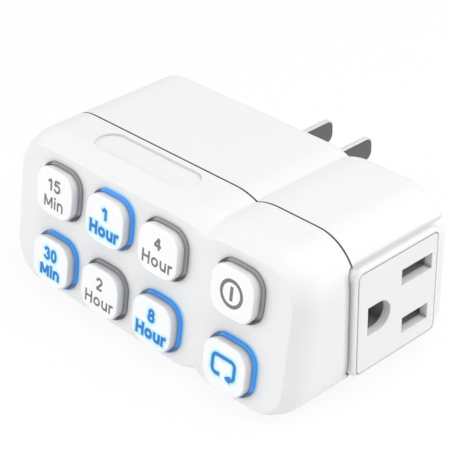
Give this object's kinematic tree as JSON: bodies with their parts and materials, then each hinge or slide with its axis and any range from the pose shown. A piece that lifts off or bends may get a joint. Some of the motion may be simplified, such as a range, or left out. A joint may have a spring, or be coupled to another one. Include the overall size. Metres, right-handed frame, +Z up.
{
  "type": "plug in timer switch",
  "caption": "Plug-in wall timer switch: a soft two-lobed box with countdown push buttons on its sloped front, an outlet at each end and plug blades behind.",
  "frame": {"origin": "middle of the flat rear face that lies on the wall plate, at the middle of the body's width and height", "axes": "+X to the right as the buttons are seen, -Y out of the front towards the user, +Z up; the plug blades point along +Y"},
  "size_m": [0.0962, 0.0742, 0.0388],
  "materials": {
    "casing": "satin white",
    "outlet_plate": "pale grey",
    "contact_housing": "dark, matt",
    "button_cap": "satin white, legends lit from behind",
    "button_skirt": "grey, translucent",
    "light_ring_lit": "blue light guide, glowing",
    "light_ring_dark": "smoked light guide, unlit",
    "switch_plunger": "black",
    "switch_housing": "stamped steel frame",
    "circuit_board": "green solder mask on glass laminate",
    "lamp": "small light-emitting chips",
    "black_component": "black moulded package",
    "relay_case": "blue moulded case",
    "film_capacitor": "yellow moulded box",
    "capacitor_can": "sleeved can",
    "varistor": "blue epoxy coating",
    "fuse": "clear tube",
    "plug_metal": "nickel plated brass",
    "busbar": "plain stamped strip",
    "wire": "black insulation",
    "screw": "zinc plated"
  },
  "bodies": {
    "base": {"blade_carrier": "contact_housing", "board_header": "black_component", "board_screws": "screw", "casing_screws": "screw", "contact_housing_left": "contact_housing", "contact_housing_right": "contact_housing", "dropper_capacitor": "film_capacitor", "front_casing": "casing", "fuse": "fuse", "ground_busbar": "busbar", "ground_pin": "plug_metal", "hookup_wires": "wire", "keypad_board": "circuit_board", "keypad_lamps": "lamp", "light_ring_15_min": "light_ring_dark", "light_ring_1_hour": "light_ring_lit", "light_ring_2_hour": "light_ring_dark", "light_ring_30_min": "light_ring_lit", "light_ring_4_hour": "light_ring_dark", "light_ring_8_hour": "light_ring_lit", "light_ring_power": "light_ring_dark", "light_ring_repeat": "light_ring_lit", "line_blade": "plug_metal", "line_busbar": "busbar", "microcontroller": "black_component", "neutral_blade": "plug_metal", "neutral_busbar": "busbar", "outlet_plate_left": "outlet_plate", "outlet_plate_right": "outlet_plate", "power_board": "circuit_board", "rear_casing": "casing", "rectifier_diodes": "black_component", "relay": "relay_case", "smoothing_capacitor": "capacitor_can", "switch_housings": "switch_housing", "varistor": "varistor"},
    "button_15_min": {"button_cap_15_min": "button_cap", "button_skirt_15_min": "button_skirt", "switch_plunger_15_min": "switch_plunger"},
    "button_1_hour": {"button_cap_1_hour": "button_cap", "button_skirt_1_hour": "button_skirt", "switch_plunger_1_hour": "switch_plunger"},
    "button_4_hour": {"button_cap_4_hour": "button_cap", "button_skirt_4_hour": "button_skirt", "switch_plunger_4_hour": "switch_plunger"},
    "button_30_min": {"button_cap_30_min": "button_cap", "button_skirt_30_min": "button_skirt", "switch_plunger_30_min": "switch_plunger"},
    "button_2_hour": {"button_cap_2_hour": "button_cap", "button_skirt_2_hour": "button_skirt", "switch_plunger_2_hour": "switch_plunger"},
    "button_8_hour": {"button_cap_8_hour": "button_cap", "button_skirt_8_hour": "button_skirt", "switch_plunger_8_hour": "switch_plunger"},
    "button_power": {"button_cap_power": "button_cap", "button_skirt_power": "button_skirt", "switch_plunger_power": "switch_plunger"},
    "button_repeat": {"button_cap_repeat": "button_cap", "button_skirt_repeat": "button_skirt", "switch_plunger_repeat": "switch_plunger"}
  },
  "joints": [
    {"name": "press_15_min", "type": "slide", "parent": "base", "child": "button_15_min", "axis": [0, 0.9871, -0.1599], "range_m": [0, 0.0008], "stiffness_N_per_m": 1500},
    {"name": "press_1_hour", "type": "slide", "parent": "base", "child": "button_1_hour", "axis": [0, 0.9871, -0.1599], "range_m": [0, 0.0008], "stiffness_N_per_m": 1500},
    {"name": "press_4_hour", "type": "slide", "parent": "base", "child": "button_4_hour", "axis": [0, 0.9871, -0.1599], "range_m": [0, 0.0008], "stiffness_N_per_m": 1500},
    {"name": "press_30_min", "type": "slide", "parent": "base", "child": "button_30_min", "axis": [0, 0.9871, -0.1599], "range_m": [0, 0.0008], "stiffness_N_per_m": 1500},
    {"name": "press_2_hour", "type": "slide", "parent": "base", "child": "button_2_hour", "axis": [0, 0.9871, -0.1599], "range_m": [0, 0.0008], "stiffness_N_per_m": 1500},
    {"name": "press_8_hour", "type": "slide", "parent": "base", "child": "button_8_hour", "axis": [0, 0.9871, -0.1599], "range_m": [0, 0.0008], "stiffness_N_per_m": 1500},
    {"name": "press_power", "type": "slide", "parent": "base", "child": "button_power", "axis": [0, 0.9871, -0.1599], "range_m": [0, 0.0008], "stiffness_N_per_m": 1500},
    {"name": "press_repeat", "type": "slide", "parent": "base", "child": "button_repeat", "axis": [0, 0.9871, -0.1599], "range_m": [0, 0.0008], "stiffness_N_per_m": 1500}
  ]
}
